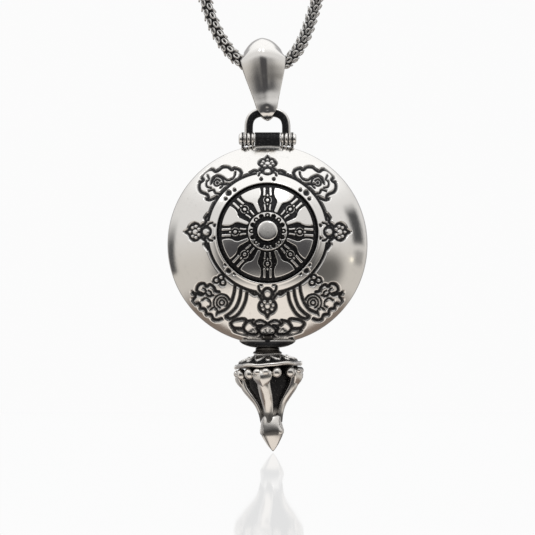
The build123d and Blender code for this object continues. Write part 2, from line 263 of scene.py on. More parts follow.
def new_material(name):
    """A material, its node helper, its shader and its place in millimetres."""
    material = bpy.data.materials.new(name)
    material.use_nodes = True
    nodes = Nodes(material.node_tree)
    shader = material.node_tree.nodes["Principled BSDF"]
    place = nodes.add("ShaderNodeTexCoord").outputs["Object"]
    scaled = nodes.add("ShaderNodeMapping", {"Vector": place, "Scale": (1 / MM, 1 / MM, 1 / MM)})
    return material, nodes, shader, scaled.outputs[0]


def scratches(nodes, place, stretch, turn):
    """Long fine noise that reads as polishing scratches along one direction."""
    mapped = nodes.add("ShaderNodeMapping", {"Vector": place, "Rotation": turn, "Scale": stretch})
    return nodes.noise(mapped.outputs[0], 1.0, 3.0, 0.7)


def silver(name, bright, dark, smooth, cover, scratch):
    """Polished silver. cover says where it is blackened: none, the mesh's own stored layer (patina,
    and painted shade in a few places) or edges.
    """
    material, nodes, shader, place = new_material(name)
    fine = scratches(nodes, place, (2.2, 2.2, 14.0), (0.3, 0.9, 0.4))
    across = scratches(nodes, place, (13.0, 2.5, 2.5), (0.7, 0.2, 1.1))
    smudge = nodes.noise(place, 0.45, 5.0, 0.65)
    tarnish = nodes.ramp(nodes.noise(place, 1.3, 6.0, 0.7), 0.52, 0.78)
    grey = tuple(0.72 * c for c in bright[:3]) + (1.0,)
    colour = nodes.mix(nodes.times(tarnish, 0.35), bright, grey)
    roughness = nodes.plus(smooth, nodes.times(smudge, 0.10))
    if cover == "none":
        shader.inputs["Metallic"].default_value = 1.0
    else:
        if cover == "patina_and_painted_shade":
            # the stored layer is patina in most places and painted shade on the bud and on the
            # rivet head's top
            black = nodes.add("ShaderNodeAttribute", attribute_name="patina_and_painted_shade").outputs["Fac"]
        else:
            rounded_normal = nodes.add("ShaderNodeBevel", {"Radius": 0.30 * MM}, samples=6)
            true_normal = nodes.add("ShaderNodeNewGeometry").outputs["Normal"]
            turn = nodes.add("ShaderNodeVectorMath", {0: rounded_normal.outputs[0], 1: true_normal},
                             operation="DOT_PRODUCT").outputs["Value"]
            black = nodes.ramp(turn, 0.93, 0.995)
        speckle = nodes.noise(place, 5.0, 4.0, 0.6)
        rubbed = nodes.times(nodes.ramp(speckle, 0.55, 0.8), 0.25)
        worn = nodes.math("SUBTRACT", black, rubbed, clamp=True)
        colour = nodes.mix(worn, colour, dark)
        roughness = nodes.plus(roughness, nodes.times(worn, 0.28))
        nodes.link(nodes.math("SUBTRACT", 1.0, nodes.times(worn, 0.35)), shader, "Metallic")
    nodes.link(colour, shader, "Base Color")
    nodes.link(roughness, shader, "Roughness")
    height = nodes.plus(nodes.times(fine, scratch), nodes.times(across, scratch))
    nodes.bump(nodes.plus(height, smudge), 0.10, shader)
    return material


def fibre(name, light, shade, scale, twist):
    """Paper or thread: a soft matt surface with fine fibres."""
    material, nodes, shader, place = new_material(name)
    fibres = scratches(nodes, place, twist, (0.2, 0.1, 0.0))
    cloud = nodes.noise(place, scale, 5.0, 0.6)
    colour = nodes.mix(nodes.ramp(fibres, 0.35, 0.7), shade, light)
    colour = nodes.mix(nodes.times(cloud, 0.4), colour, shade)
    nodes.link(colour, shader, "Base Color")
    shader.inputs["Roughness"].default_value = 0.85
    nodes.bump(fibres, 0.4, shader)
    return material


BRIGHT = (0.90, 0.885, 0.86, 1.0)
WARM = (0.86, 0.835, 0.80, 1.0)
BLACK = (0.012, 0.012, 0.014, 1.0)
MATERIALS = {
    "engraved": silver("silver_engraved", BRIGHT, BLACK, 0.06, "patina_and_painted_shade", 0.4),
    "wheel": silver("silver_wheel", BRIGHT, BLACK, 0.07, "patina_and_painted_shade", 0.4),
    "plain": silver("silver_plain", BRIGHT, BLACK, 0.07, "none", 0.5),
    "cast": silver("silver_cast", WARM, BLACK, 0.13, "patina_and_painted_shade", 0.5),
    "black": silver("silver_black", (0.05, 0.045, 0.04, 1.0), BLACK, 0.22, "none", 0.6),
    "dark": silver("silver_dark", WARM, BLACK, 0.20, "edges", 0.6),
    "links": silver("silver_links", (0.66, 0.65, 0.63, 1.0), BLACK, 0.16, "patina_and_painted_shade", 0.3),
    "paper": fibre("rolled_paper", (0.80, 0.71, 0.53, 1), (0.60, 0.49, 0.32, 1), 0.6,
                   (6.0, 6.0, 0.8)),
    "thread": fibre("cotton_thread", (0.42, 0.05, 0.05, 1), (0.20, 0.02, 0.02, 1), 2.0,
                    (9.0, 9.0, 9.0)),
}


def paint(obj, material):
    """Gives an object one of the materials above and no other."""
    obj.data.materials.clear()
    obj.data.materials.append(MATERIALS[material])


def dress(obj, material, body, slot, *nodes):
    """Gives a new piece its material and body, and hides the CAD nodes that it stands for. The slot
    is not used.
    """
    paint(obj, material)
    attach(obj, body)
    if nodes:
        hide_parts(*nodes)
    return obj


# ---- the chain ----
COIL_R = 11.5
COIL_TURNS = 3
COIL_START_Y, COIL_PITCH = -1.0, 2.0
END_ANGLE, STRAND_ANGLE = 200.0, 193.0
POINTS_A_TURN = 16
HANGING = 62.0
CHAIN_END = [(-7.0, 0.0, 11.83), (-10.75, 0.0, 9.2), (-12.9, -0.55, 5.15), (-12.45, -0.95, 0.6),
             (-10.9, -1.0, -3.9)]
STRAND = [(-11.2, -7.0, -2.6), (-10.7, -5.6, -9.0), (-9.7, -3.4, -16.5), (-7.2, -1.3, -22.9),
          (-3.3, 0.0, -26.7), (2.4, 0.0, -26.7), (5.35, 1.3, -22.8), (7.3, 3.4, -16.5),
          (9.3, 5.6, -9.0), (11.2, 7.0, -2.6)]


def coil_side():
    """The turns of the left half of the coil, from the chain's end to its hanging stretch."""
    step = 360.0 / POINTS_A_TURN
    sweep = 360.0 * COIL_TURNS + STRAND_ANGLE - END_ANGLE
    radius = COIL_R / math.cos(math.radians(step / 2)) * 0.995
    count = int(sweep / step)
    points = []
    for k in range(1, count):
        turn = k * sweep / count
        angle = math.radians(END_ANGLE + turn)
        y = COIL_START_Y - COIL_PITCH * turn / 360.0
        points.append((radius * math.cos(angle), y, radius * math.sin(angle)))
    return points


def chain_route():
    """The whole chain's control points, from one end cap to the other, in metres."""
    left = CHAIN_END + coil_side()
    right = [(-x, -y, z) for x, y, z in reversed(left)]
    return [tuple(MM * c for c in point) for point in left + STRAND + right]


def chain_core():
    """The chain's blackened core, one spline that its loops are set round."""
    route = chain_route()
    curve = bpy.data.curves.new("chain_core", "CURVE")
    curve.dimensions = "3D"
    spline = curve.splines.new("NURBS")
    spline.points.add(len(route) - 1)
    for point, place in zip(spline.points, route):
        point.co = (*place, 1.0)
    spline.order_u = 3
    spline.use_endpoint_u = True
    spline.resolution_u = 12
    obj = put_in("chain_core", curve)
    line = bpy.data.meshes.new_from_object(obj)
    path = np.array([v.co[:] for v in line.vertices]) / MM
    bpy.data.meshes.remove(line)
    curve.bevel_depth = 0.70 * MM
    curve.bevel_resolution = 3
    curve.use_fill_caps = True
    return obj, path


def even_path(path, spacing):
    """Points evenly spaced along a path, with a frame at each that doesn't twist."""
    steps = np.linalg.norm(np.diff(path, axis=0), axis=1)
    along = np.concatenate([[0], np.cumsum(steps)])
    count = int(along[-1] / spacing)
    want = np.linspace(0, along[-1], count + 1)
    place = np.stack([np.interp(want, along, path[:, k]) for k in range(3)], 1)
    tangent = np.gradient(place, axis=0)
    tangent /= np.linalg.norm(tangent, axis=1)[:, None]
    side = np.zeros_like(place)
    side[0] = np.cross(tangent[0], (0, 1, 0))
    for i in range(len(place)):
        last = side[max(i - 1, 0)]
        flat = last - tangent[i] * np.dot(last, tangent[i])
        side[i] = flat / np.linalg.norm(flat)
    return want, place, tangent, side


def woven_links(name, path, low, high, around, section):
    """Staggered columns of oval wire loops round the path between two lengths along it."""
    column_count, row, loop_r = 6, 0.72, 0.77
    half_long, half_wide, wire = 0.47, 0.29, 0.13
    lean, twist = math.radians(24), 0.012
    want, place, tangent, side = even_path(path, row)
    theta, phi = full_turn(around), full_turn(section)
    c, s = np.cos(theta)[:, None], np.sin(theta)[:, None]
    verts, faces, black = [], [], []
    for i, length in enumerate(want):
        if not low <= length <= high:
            continue
        t, n0 = tangent[i], side[i]
        b0 = np.cross(t, n0)
        for k in range(i % 2, column_count, 2):
            angle = 2 * math.pi * k / column_count + twist * length
            n = n0 * math.cos(angle) + b0 * math.sin(angle)
            b = np.cross(t, n)
            along = t * math.cos(lean) + n * math.sin(lean)
            rise = n * math.cos(lean) - t * math.sin(lean)
            ring = c * half_long * along + s * half_wide * b
            out = c * half_wide * along + s * half_long * b
            out /= np.linalg.norm(out, axis=1)[:, None]
            tube = (ring[:, None, :] + wire * (np.cos(phi)[None, :, None] * out[:, None, :]
                                               + np.sin(phi)[None, :, None] * rise[None, None, :]))
            faces.append(ring_faces(around, section) + len(verts) * around * section)
            verts.append((place[i] + n * loop_r + tube).reshape(-1, 3))
            black.append(smooth_step((0.02 - (tube @ n).reshape(-1)) / 0.2))
    obj = big_mesh(name, np.concatenate(verts), np.concatenate(faces))
    patina_and_painted_shade(obj, np.concatenate(black))
    return obj


def make_chain():
    """The chain: core, woven loops and the pieces at its ends."""
    core, path = chain_core()
    length = np.linalg.norm(np.diff(path, axis=0), axis=1).sum()
    low, high = (length - HANGING) / 2, (length + HANGING) / 2
    woven = [woven_links("woven_strand", path, low, high, 14, 8),
             woven_links("woven_coil_left", path, 0, low, 10, 5),
             woven_links("woven_coil_right", path, high, length, 10, 5)]
    dress(core, "dark", "chain", "silver_chain", "necklace_chain", "chain_end_a", "chain_end_b",
          "chain_coil")
    for piece in woven:
        dress(piece, "links", "chain", "silver_chain")
    tie = frame["nodes"]["chain_tie"]
    paint(tie, "thread")
    metal = [frame["nodes"][name] for name in
             ("end_cap_a", "end_cap_b", "jump_ring_a", "jump_ring_b", "clasp_body", "clasp_rivet",
              "clasp_spring", "clasp_trigger")]
    for piece in metal:
        paint(piece, "plain")
    carried = woven + metal + [tie]
    for piece in [core] + carried:
        piece.visible_glossy = False


make_chain()


# ---- the front shell and its engraving ----
# The engraving is laid out flat, in millimetres about the wheel's hub, as it is drawn to be seen
# from a little below the locket, and is then thrown back onto the dome.
LAYOUT_LEAN = math.radians(5.0)
LAYOUT_FAR = 225.0
HUB_HIGH = 1.82
CUT = 0.42
CUT_DEEP = 0.26
LOTUS_DROP = 0.35


def layout(points):
    """The flat drawing coordinates of points on the front, given about the locket's centre."""
    x, y, z = points.T
    near = LAYOUT_FAR / (LAYOUT_FAR + y)
    return x * near, (z * math.cos(LAYOUT_LEAN) - y * math.sin(LAYOUT_LEAN)) * near - HUB_HIGH


def outward(distance, degrees):
    """The flat drawing's point at a distance from the hub, at an angle round from its top."""
    return -distance * math.sin(math.radians(degrees)), distance * math.cos(math.radians(degrees))


def curves(*rows):
    """Smooth drawn lines with their widths; a row is a width and the line's points."""
    return [(rounded(points), width) for width, *points in rows]


def arcs(centre, width, *rows):
    """Drawn arcs about one centre with their width; a row is a radius and two angles."""
    return [(arc_points(centre, *row), width) for row in rows]


def finial_lines():
    """A flame-shaped bud on a round boss with two leaf scrolls, standing outward at the rim."""
    lines = curves(
        (CUT, (0.0, 12.45), (-0.35, 11.95), (-0.95, 11.65), (-1.3, 11.1), (-1.05, 10.45),
         (-0.4, 10.15), (0.4, 10.15), (1.05, 10.45), (1.3, 11.1), (0.95, 11.65), (0.35, 11.95),
         (0.0, 12.45)))
    lines += arcs((0, 9.35), 0.34, (0.78, 0, 360))
    scrolls = curves(
        (CUT, (2.7, 9.0), (2.0, 9.45), (1.5, 9.35), (1.15, 9.75), (0.85, 10.1)),
        (0.34, (1.35, 8.35), (1.25, 8.85), (0.95, 9.15), (1.0, 9.6)))
    for side in (-1, 1):
        lines += [(scroll * (side, 1), width) for scroll, width in scrolls]
    beads = [((0.86 * math.sin(math.radians(t)), 10.98 + 0.62 * math.cos(math.radians(t))), 0.24)
             for t in range(-150, 151, 50) if t]
    beads += [((0.0, 11.75), 0.2), ((0.0, 9.35), 0.52), ((0.0, 10.98), 0.42)]
    return lines, beads


def cloud_lines():
    """The scroll cloud at the upper left, with its curled ribbon."""
    lines = curves(
        (CUT, (-3.95, 9.0), (-4.25, 9.45), (-4.95, 9.65), (-5.4, 9.45), (-5.95, 9.85), (-6.8, 9.85),
         (-7.35, 9.45), (-7.85, 9.2), (-8.3, 9.5), (-8.9, 9.5), (-9.6, 9.05), (-10.05, 8.4),
         (-9.75, 7.9), (-10.3, 7.45), (-10.4, 6.75), (-10.1, 6.1), (-9.3, 5.75), (-9.0, 5.35),
         (-9.1, 4.95)),
        (CUT, (-9.25, 5.0), (-8.8, 4.85), (-8.2, 5.05), (-7.7, 5.35)),
        (0.3, (-8.6, 7.3), (-8.25, 8.1), (-7.5, 8.6), (-6.8, 8.35), (-6.1, 7.85), (-5.4, 8.0),
         (-5.0, 8.55), (-4.9, 9.1)),
        (CUT, (-6.9, 7.25), (-6.3, 7.3), (-5.5, 7.25), (-4.7, 7.75), (-4.2, 8.35), (-3.95, 9.0)),
        (0.3, (-8.9, 6.2), (-8.2, 6.4), (-7.9, 5.9), (-7.2, 5.8)),
        (0.28, (-9.1, 8.6), (-8.9, 8.0), (-9.3, 7.5), (-9.2, 6.9), (-8.6, 6.7)))
    return lines + arcs((-7.65, 7.5), 0.28, (0.95, -60, 190), (0.5, 30, 330)), [((-7.65, 7.5), 0.3)]


def ribbon_lines():
    """The double ribbon that falls from the rim at the lower left."""
    return curves(
        (CUT, (-4.9, -8.1), (-5.05, -9.2), (-5.5, -10.6), (-6.3, -11.7), (-7.4, -12.2)),
        (CUT, (-4.0, -8.75), (-4.2, -10.0), (-4.7, -11.3), (-5.5, -12.2), (-6.3, -12.75)),
        (CUT, (-3.1, -9.2), (-3.35, -10.5), (-3.95, -11.8), (-4.7, -12.7), (-5.6, -13.1),
         (-6.2, -12.85))), []


def low_cloud_lines():
    """The scroll cloud at the lower left, with the small trefoil that touches the rim."""
    lines = curves(
        (CUT, (-7.3, -9.1), (-7.8, -9.0), (-8.1, -8.4), (-8.7, -8.0), (-9.2, -8.3), (-9.6, -7.85),
         (-10.3, -7.95), (-10.7, -8.5), (-10.5, -9.1), (-9.9, -9.35)),
        (CUT, (-11.3, -9.1), (-10.9, -9.7), (-11.3, -10.3), (-11.0, -10.9), (-10.3, -10.8),
         (-10.1, -11.5), (-9.4, -11.7), (-9.2, -12.4), (-8.5, -12.5), (-8.2, -13.1), (-7.5, -13.3),
         (-6.9, -13.1)),
        (0.34, (-11.3, -9.1), (-10.7, -9.35), (-10.0, -9.6), (-9.4, -9.3), (-8.9, -9.7),
         (-8.2, -9.6)),
        (0.28, (-9.9, -10.3), (-9.3, -10.0), (-8.7, -10.4), (-8.6, -11.1), (-9.0, -11.4)),
        (0.28, (-8.6, -11.7), (-8.0, -11.4), (-7.6, -11.8), (-7.7, -12.5)),
        (0.28, (-8.9, -8.9), (-8.5, -9.2), (-8.6, -9.8)),
        (0.28, (-9.7, -8.5), (-9.3, -8.9), (-9.5, -9.3)))
    lines += arcs((-6.9, -10.7), 0.28, (1.25, 20, 230), (0.8, -40, 250), (0.38, 0, 360))
    for centre in ((-7.05, -6.95), (-7.75, -7.35), (-6.75, -7.7)):
        lines += arcs(centre, 0.3, (0.42, 0, 360))
    return lines, [((-7.2, -7.35), 0.3)]


def lotus_lines():
    """The left half of the lotus at the foot of the dome, and its middle petal."""
    return curves(
        (0.36, (0, -13.6), (-0.8, -14.0), (-1.23, -14.52), (-0.97, -15.04), (0, -15.34)),
        (0.36, (0, -13.6), (-0.45, -13.27), (-1.06, -13.02), (-1.66, -13.19), (-1.9, -13.5),
         (-1.66, -13.8), (-0.8, -13.76)),
        (0.36, (-2.1, -12.97), (-2.35, -13.3), (-2.1, -13.6), (-1.66, -13.82)),
        (0.40, (-2.2, -13.05), (-2.75, -13.12), (-3.2, -13.4), (-3.55, -13.92), (-3.6, -14.35),
         (-3.2, -14.78), (-2.5, -15.05), (-1.6, -15.08), (-1.4, -14.7), (-1.62, -14.2),
         (-1.25, -13.95)),
        (0.44, (-3.3, -13.5), (-3.38, -12.85), (-4.24, -12.84), (-5.1, -13.06), (-5.5, -13.45),
         (-5.35, -13.92), (-4.85, -14.2), (-3.7, -14.26)),
        (0.42, (-5.1, -14.15), (-4.95, -14.6), (-4.6, -14.95), (-3.9, -15.22), (-3.2, -15.25),
         (-2.9, -15.0)),
        (0.42, (-3.5, -15.3), (-3.0, -15.62), (-2.2, -15.78), (-1.4, -15.7), (-0.9, -15.4)),
        (0.44, (-1.2, -15.6), (-0.5, -15.85), (0, -15.85))), []


def front_cut(a, b):
    """How deeply the front shell is cut at each place of the flat drawing, from 0 to 1."""
    cut = np.zeros(a.shape)
    radius = np.hypot(a, b)
    for motif, drop in ((cloud_lines, 0), (ribbon_lines, 0), (low_cloud_lines, 0),
                        (lotus_lines, LOTUS_DROP)):
        lines, dots = motif()
        for sign in (1, -1):
            for path, width in lines:
                mirrored = np.asarray(path) * (sign, 1)
                cut = np.maximum(cut, stroke(a, b + drop, mirrored, width / 1.42))
            for centre, size in dots:
                cut = np.maximum(cut, dot(a, b, (centre[0] * sign, centre[1]), size))
    cut = cut * smooth_step((radius - 8.75) / 0.3)
    rim = smooth_step((0.34 - np.abs(np.hypot(a, b + 0.1) - 9.2)) / 0.18)
    cut = np.maximum(cut, rim)
    lines, beads = finial_lines()
    for angle, reach in ((0, 0.74), (90, 1.0), (180, 1.13), (270, 1.0)):
        sideways, away = outward(1, -angle)
        across = a * away + b * sideways
        along = 9.0 + (b * away - a * sideways - 9.0) / reach
        ground = smooth_step((1.0 - np.hypot(across / 1.25, (along - 11.0) / 0.95)) / 0.12)
        ground = np.maximum(ground, smooth_step((0.95 - np.hypot(across, along - 9.35)) / 0.12))
        near = (np.abs(across) < 1.6) & (along > 8.6) & (along < 10.3)
        cut = np.where(near, cut * 0.3, cut)
        cut = np.maximum(cut, ground)
        for path, width in lines:
            cut = np.maximum(cut, stroke(across, along, path, width / 1.6))
        for centre, size in beads:
            cut = cut * (1 - 0.92 * dot(across, along, centre, size))
    for k in range(8):
        turn = 45 * k
        for side in (-6.8, 6.8):
            cut = np.maximum(cut, dot(a, b, outward(8.05, turn + side), 0.31))
        if k % 2:
            cut = np.maximum(cut, dot(a, b, outward(8.35, turn), 0.5))
    return cut


def about_wheel(radius, theta, rise=0.0):
    """Points about the wheel's axis, on the front's sphere or raised above it, in millimetres."""
    radius = np.asarray(radius, float)
    high = np.sqrt((DOME_R + rise) ** 2 - radius**2)
    point = radius[..., None] * (np.cos(theta)[..., None] * np.array((1.0, 0.0, 0.0))
                                 + np.sin(theta)[..., None] * AXLE_UP)
    return point + high[..., None] * AXLE + (0.0, DOME_Y, 0.0)


def about_case(radius, theta, y):
    """A ring about the locket's own axis at one depth, in millimetres."""
    return np.stack([radius * np.cos(theta), np.full(theta.shape, y), radius * np.sin(theta)], 1)


def dome_y(radius, sink=0.0):
    """The front's depth at a distance from the locket's axis, sunk into the dome by a distance."""
    return DOME_Y - math.sqrt((DOME_R - sink) ** 2 - radius**2)


def closed_rings(name, rings, shade, body, slot, material, *nodes):
    """A ring-shaped body from a closed loop of rings of points."""
    obj = big_mesh(name, np.concatenate(rings), ring_faces(len(rings), len(rings[0])))
    patina_and_painted_shade(obj, np.concatenate(shade))
    obj.location = (0, 0, CENTRE_Z * MM)
    return dress(obj, material, body, slot, *nodes)


def make_front():
    """The domed front shell with its seat for the wheel and its engraved field."""
    count, steps = 760, 92
    theta = full_turn(count)
    middle = np.array((0.0, DOME_Y, 0.0))
    seat = about_wheel(LIP_R + 0.1, theta) - middle
    brim = about_case(LOCKET_R - 0.42, theta, dome_y(LOCKET_R - 0.42)) - middle
    t = np.linspace(0, 1, steps)[:, None, None]
    field = (1 - t) * seat + t * brim
    field *= DOME_R / np.linalg.norm(field, axis=2)[:, :, None]
    flat = (field + middle).reshape(-1, 3)
    a, b = layout(flat)
    from_axle = np.sqrt(flat[:, 0] ** 2 + ((flat - middle) @ AXLE_UP) ** 2)
    from_centre = np.hypot(flat[:, 0], flat[:, 2])
    cut = front_cut(a, b) * smooth_step((LOCKET_R - 0.62 - from_centre) / 0.25)
    cut *= smooth_step((from_axle - LIP_R - 0.15) / 0.12)
    lip = 0.05 * smooth_step(1 - np.abs(from_axle - LIP_R - 0.16) / 0.2)
    swell = 0.012 * smooth_step(1 - np.abs(from_axle - (LIP_R + 0.62)) / 0.55)
    depth = (CUT_DEEP * cut - swell - lip).reshape(steps, count, 1)
    field = field * (1 - depth / DOME_R) + middle
    cut = cut.reshape(steps, count)
    rings, shade = [], []
    for radius, sink, black in ((8.3, 1.0, 0.6), (4.0, 1.05, 0.6), (0.95, 1.05, 1.0),
                                (0.95, SEAT_DEEP, 1.0), (4.0, SEAT_DEEP, 1.0),
                                (7.0, SEAT_DEEP, 1.0), (SEAT_R - 0.12, SEAT_DEEP, 1.0),
                                (SEAT_R, SEAT_DEEP - 0.1, 1.0),
                                (LIP_R, 0.14, 0.9), (LIP_R + 0.03, -0.02, 0.1)):
        rings.append(about_wheel(radius, theta, -sink))
        shade.append(np.full(count, black))
    rings += list(field)
    shade += list(cut)
    brim_profile = [(r, dome_y(r)) for r in (LOCKET_R - 0.3, LOCKET_R - 0.16)]
    brim_profile += [(LOCKET_R - 0.04, -EDGE_HALF - 0.06), (LOCKET_R, -EDGE_HALF + 0.12),
                     (LOCKET_R, -0.08), (LOCKET_R - 0.06, -0.02), (14.36, -0.02), (14.3, -0.1),
                     (14.1, -0.8)]
    brim_profile += [(r, dome_y(r, WALL)) for r in (13.4, 11.5, 10.2)]
    for radius, y in brim_profile:
        rings.append(about_case(radius, theta, y))
        shade.append(np.full(count, 0.0 if radius > 14.2 else 0.5))
    closed_rings("front_face", rings, shade, "front", "silver_polished", "engraved", "front_shell")


make_front()


# ---- the wheel ----
def rail(along, across, low, high, offset, half):
    """1 on a thin raised bar beside a spoke's middle line, between two distances out."""
    ends = smooth_step((along - low) / 0.14) * smooth_step((high - along) / 0.14)
    return ends * smooth_step((half + 0.05 - np.abs(across - offset)) / 0.1)


def wheel_relief(radius, angle):
    """How high the wheel's face stands over its black ground, and how black it is."""
    drawn = radius * 1.03
    spoke = (angle + math.pi / 8) % (math.pi / 4) - math.pi / 8
    along, side = drawn * np.cos(spoke), drawn * np.sin(spoke)
    across = np.abs(side)
    outer = rail(along, across, 5.45, 7.0, 0.46 + 0.12 * np.maximum(0, 5.9 - along), 0.17)
    inner = rail(along, across, 3.1, 4.25, 0.36 + 0.18 * np.maximum(0, along - 3.6), 0.13)
    jewel = smooth_step((0.3 - np.hypot((along - 4.85) * 0.85, across)) / 0.12)
    curl = smooth_step((0.1 - np.abs(np.hypot(along - 4.85, across) - 0.6)) / 0.08)
    curl *= smooth_step((across - 0.2) / 0.15)
    bud = smooth_step((0.19 - np.hypot((along - 5.62) * 0.8, across)) / 0.08)
    drop = smooth_step((0.16 - np.hypot((along - 4.2) * 0.7, across)) / 0.08)
    spokes = np.maximum.reduce([outer, inner, jewel, 0.75 * curl, 0.8 * bud, 0.7 * drop])
    petal = (angle % (math.pi / 4)) - math.pi / 8
    out, wide = drawn * np.cos(petal), np.abs(drawn * np.sin(petal))
    half = np.interp(out, (3.08, 3.2, 4.0, 4.7, 5.05, 5.3, 5.7, 6.3, 6.75, 7.0),
                     (0.10, 0.38, 0.44, 0.50, 0.72, 1.08, 1.42, 1.66, 1.72, 1.55))
    inside = np.minimum(half - wide, 7.12 - drawn)
    pad = smooth_step(inside / 0.22)
    band = smooth_step((drawn - 2.14) / 0.1) * smooth_step((2.98 - drawn) / 0.1)
    pit = (angle + math.pi / 16) % (math.pi / 8) - math.pi / 16
    pits = smooth_step((0.40 - np.hypot(drawn * np.cos(pit) - 2.40, drawn * np.sin(pit))) / 0.09)
    wide_pit = (angle + math.pi / 8) % (math.pi / 4) - math.pi / 8
    bead = np.hypot(drawn * np.cos(wide_pit) - 2.40, drawn * np.sin(wide_pit))
    bead = smooth_step((0.21 - bead) / 0.09)
    hub = np.maximum.reduce([band * (1 - pits), bead])
    face = np.maximum.reduce([spokes, pad, hub])
    black = 1 - smooth_step((face - 0.35) / 0.5)
    high = np.maximum.reduce([0.26 * spokes, 0.30 * pad, 0.42 * hub])
    return high, black


def make_wheel():
    """The turning wheel: eight jewelled spokes and eight puffed panels on a black ground."""
    count, steps = 640, 104
    theta = full_turn(count)
    radius, angle = np.meshgrid(np.linspace(1.56, WHEEL_R - 0.12, steps), theta, indexing="ij")
    high, black = wheel_relief(radius, angle)
    inner = [(0.97, -0.5), (0.97, -0.3), (1.54, -0.3)]
    outer = [(WHEEL_R - 0.04, -0.28), (WHEEL_R, -0.33), (WHEEL_R, -0.46), (WHEEL_R - 0.05, -0.5),
             (4.0, -0.5)]
    inner, outer = ([about_wheel(r, theta, rise) for r, rise in profile]
                    for profile in (inner, outer))
    face = [about_wheel(radius[k], theta, high[k] - 0.26) for k in range(steps)]
    shade = [np.ones(count)] * len(inner) + list(black) + [np.ones(count)] * len(outer)
    closed_rings("dharma_wheel", inner + face + outer, shade, "wheel", "silver_wheel", "wheel",
                 "wheel_disc", "hub_ring")


def make_axle():
    """The rivet that the wheel turns on, with a smooth domed head whose flat top is greyed with
    painted shade.
    """
    count = 64
    theta = full_turn(count)
    profile = [(0.02, -1.85), (0.9, -1.85), (1.2, -1.85), (1.2, -1.5), (0.9, -1.45), (0.9, 0.02),
               (1.42, 0.05), (1.5, 0.14), (1.5, 0.3), (1.44, 0.43), (1.32, 0.49), (1.1, 0.5),
               (0.8, 0.5), (0.4, 0.5), (0.06, 0.5), (0.02, 0.5)]
    rings = [about_wheel(r, theta, rise) for r, rise in profile]
    # the flat top is set 0.3 black: painted shade in place of a darker reflection; the parts under
    # the wheel are patina
    shade = [np.full(count, 0.3 if rise > 0.495 else float(rise <= 0.1)) for r, rise in profile]
    closed_rings("axle_head", rings, shade, "front", "silver_wheel", "wheel", "wheel_axle")


make_wheel()
make_axle()


# ---- the bail ----
def leaned(points, pivot_z, degrees):
    """Points turned about a front-to-back line at a height, as a hand-made piece hangs askew."""
    turn = math.radians(degrees)
    x, y, z = points[..., 0], points[..., 1], points[..., 2] - pivot_z
    return np.stack([x * math.cos(turn) + z * math.sin(turn), y,
                     z * math.cos(turn) - x * math.sin(turn) + pivot_z], -1)


def make_bail():
    """A long leaf folded over the chain, its two ends closed round the shackle's bow."""
    # along the fold from the front tip to the back tip: height, half depth, half width, narrowing
    half_fold = [(18.9, 0.72, 0.15, 0.0), (19.2, 1.15, 0.58, 0.08), (19.7, 1.55, 1.06, 0.16),
                 (20.3, 1.74, 1.40, 0.24), (21.0, 1.78, 1.62, 0.28), (22.0, 1.74, 1.86, 0.34),
                 (23.2, 1.72, 2.20, 0.40), (24.5, 1.88, 2.58, 0.46), (25.8, 2.22, 2.95, 0.50),
                 (27.2, 2.55, 3.30, 0.54), (28.3, 2.64, 3.42, 0.58), (29.3, 2.42, 3.32, 0.60),
                 (30.2, 1.92, 3.12, 0.62), (31.0, 1.25, 2.92, 0.62)]
    half_fold = np.array(half_fold)
    keys = np.concatenate([half_fold * (1, -1, 1, 1), [(31.45, 0.0, 2.84, 0.62)], half_fold[::-1]])
    want = np.linspace(0, len(keys) - 1, 157)
    kind = []
    for column in keys.T:
        slope = np.gradient(column)
        k = np.clip(want.astype(int), 0, len(keys) - 2)
        t = want - k
        h00, h10 = 2 * t**3 - 3 * t**2 + 1, t**3 - 2 * t**2 + t
        h01, h11 = -2 * t**3 + 3 * t**2, t**3 - t**2
        kind.append(h00 * column[k] + h10 * slope[k] + h01 * column[k + 1] + h11 * slope[k + 1])
    z, y, wide, narrow = kind
    dz, dy = np.gradient(z), np.gradient(y)
    size = np.hypot(dz, dy)
    out_y, out_z = -dz / size, dy / size
    z, y, wide, narrow, out_y, out_z = (v[:, None] for v in (z, y, wide, narrow, out_y, out_z))
    across = np.linspace(-1, 1, 49)[None, :]
    side = (across**2 + 0.004) ** 0.70
    ridge = 0.10 * np.exp(-(across / 0.22) ** 2) * smooth_step((z - 21) / 4)
    dimple = np.exp(-((across * wide) ** 2 + (z - 20.25) ** 2) / 0.2)
    swell = ridge - 0.16 * dimple
    thick = np.clip(0.62 - 0.42 * np.abs(across) ** 4, 0.2, 1)
    thick = thick * np.clip(0.35 + 0.65 * smooth_step((z - 18.4) / 1.2), 0.3, 1)
    fall = 1.9 * smooth_step((z - 27.0) / 4.4) * np.abs(across) ** 2.3

    def sheet(lift):
        return np.stack([wide * across, y * (1 - 1.06 * narrow * side) + out_y * lift,
                         z - fall + out_z * lift], -1)

    outer, inner = sheet(swell), sheet(swell - thick)
    loop = np.concatenate([outer, inner[:, ::-1]], 1)
    rows, columns = loop.shape[:2]
    caps = [list(range(columns))[::-1], [(rows - 1) * columns + k for k in range(columns)]]
    loop = leaned(loop, 19.8, -4.5)
    faces = [tuple(face) for face in grid_faces(rows, columns)] + [tuple(cap) for cap in caps]
    obj = new_mesh("bail_leaf", loop.reshape(-1, 3) + (0, 0, CENTRE_Z), faces)
    dress(obj, "plain", "bail", "silver_polished", "bail")


make_bail()


# ---- the half vajra ----
VAJRA_LEAN = 3.2
VAJRA_TOP = -16.2
LEAN_SLOPE = 0.056
PRONG_TURN = 13.0


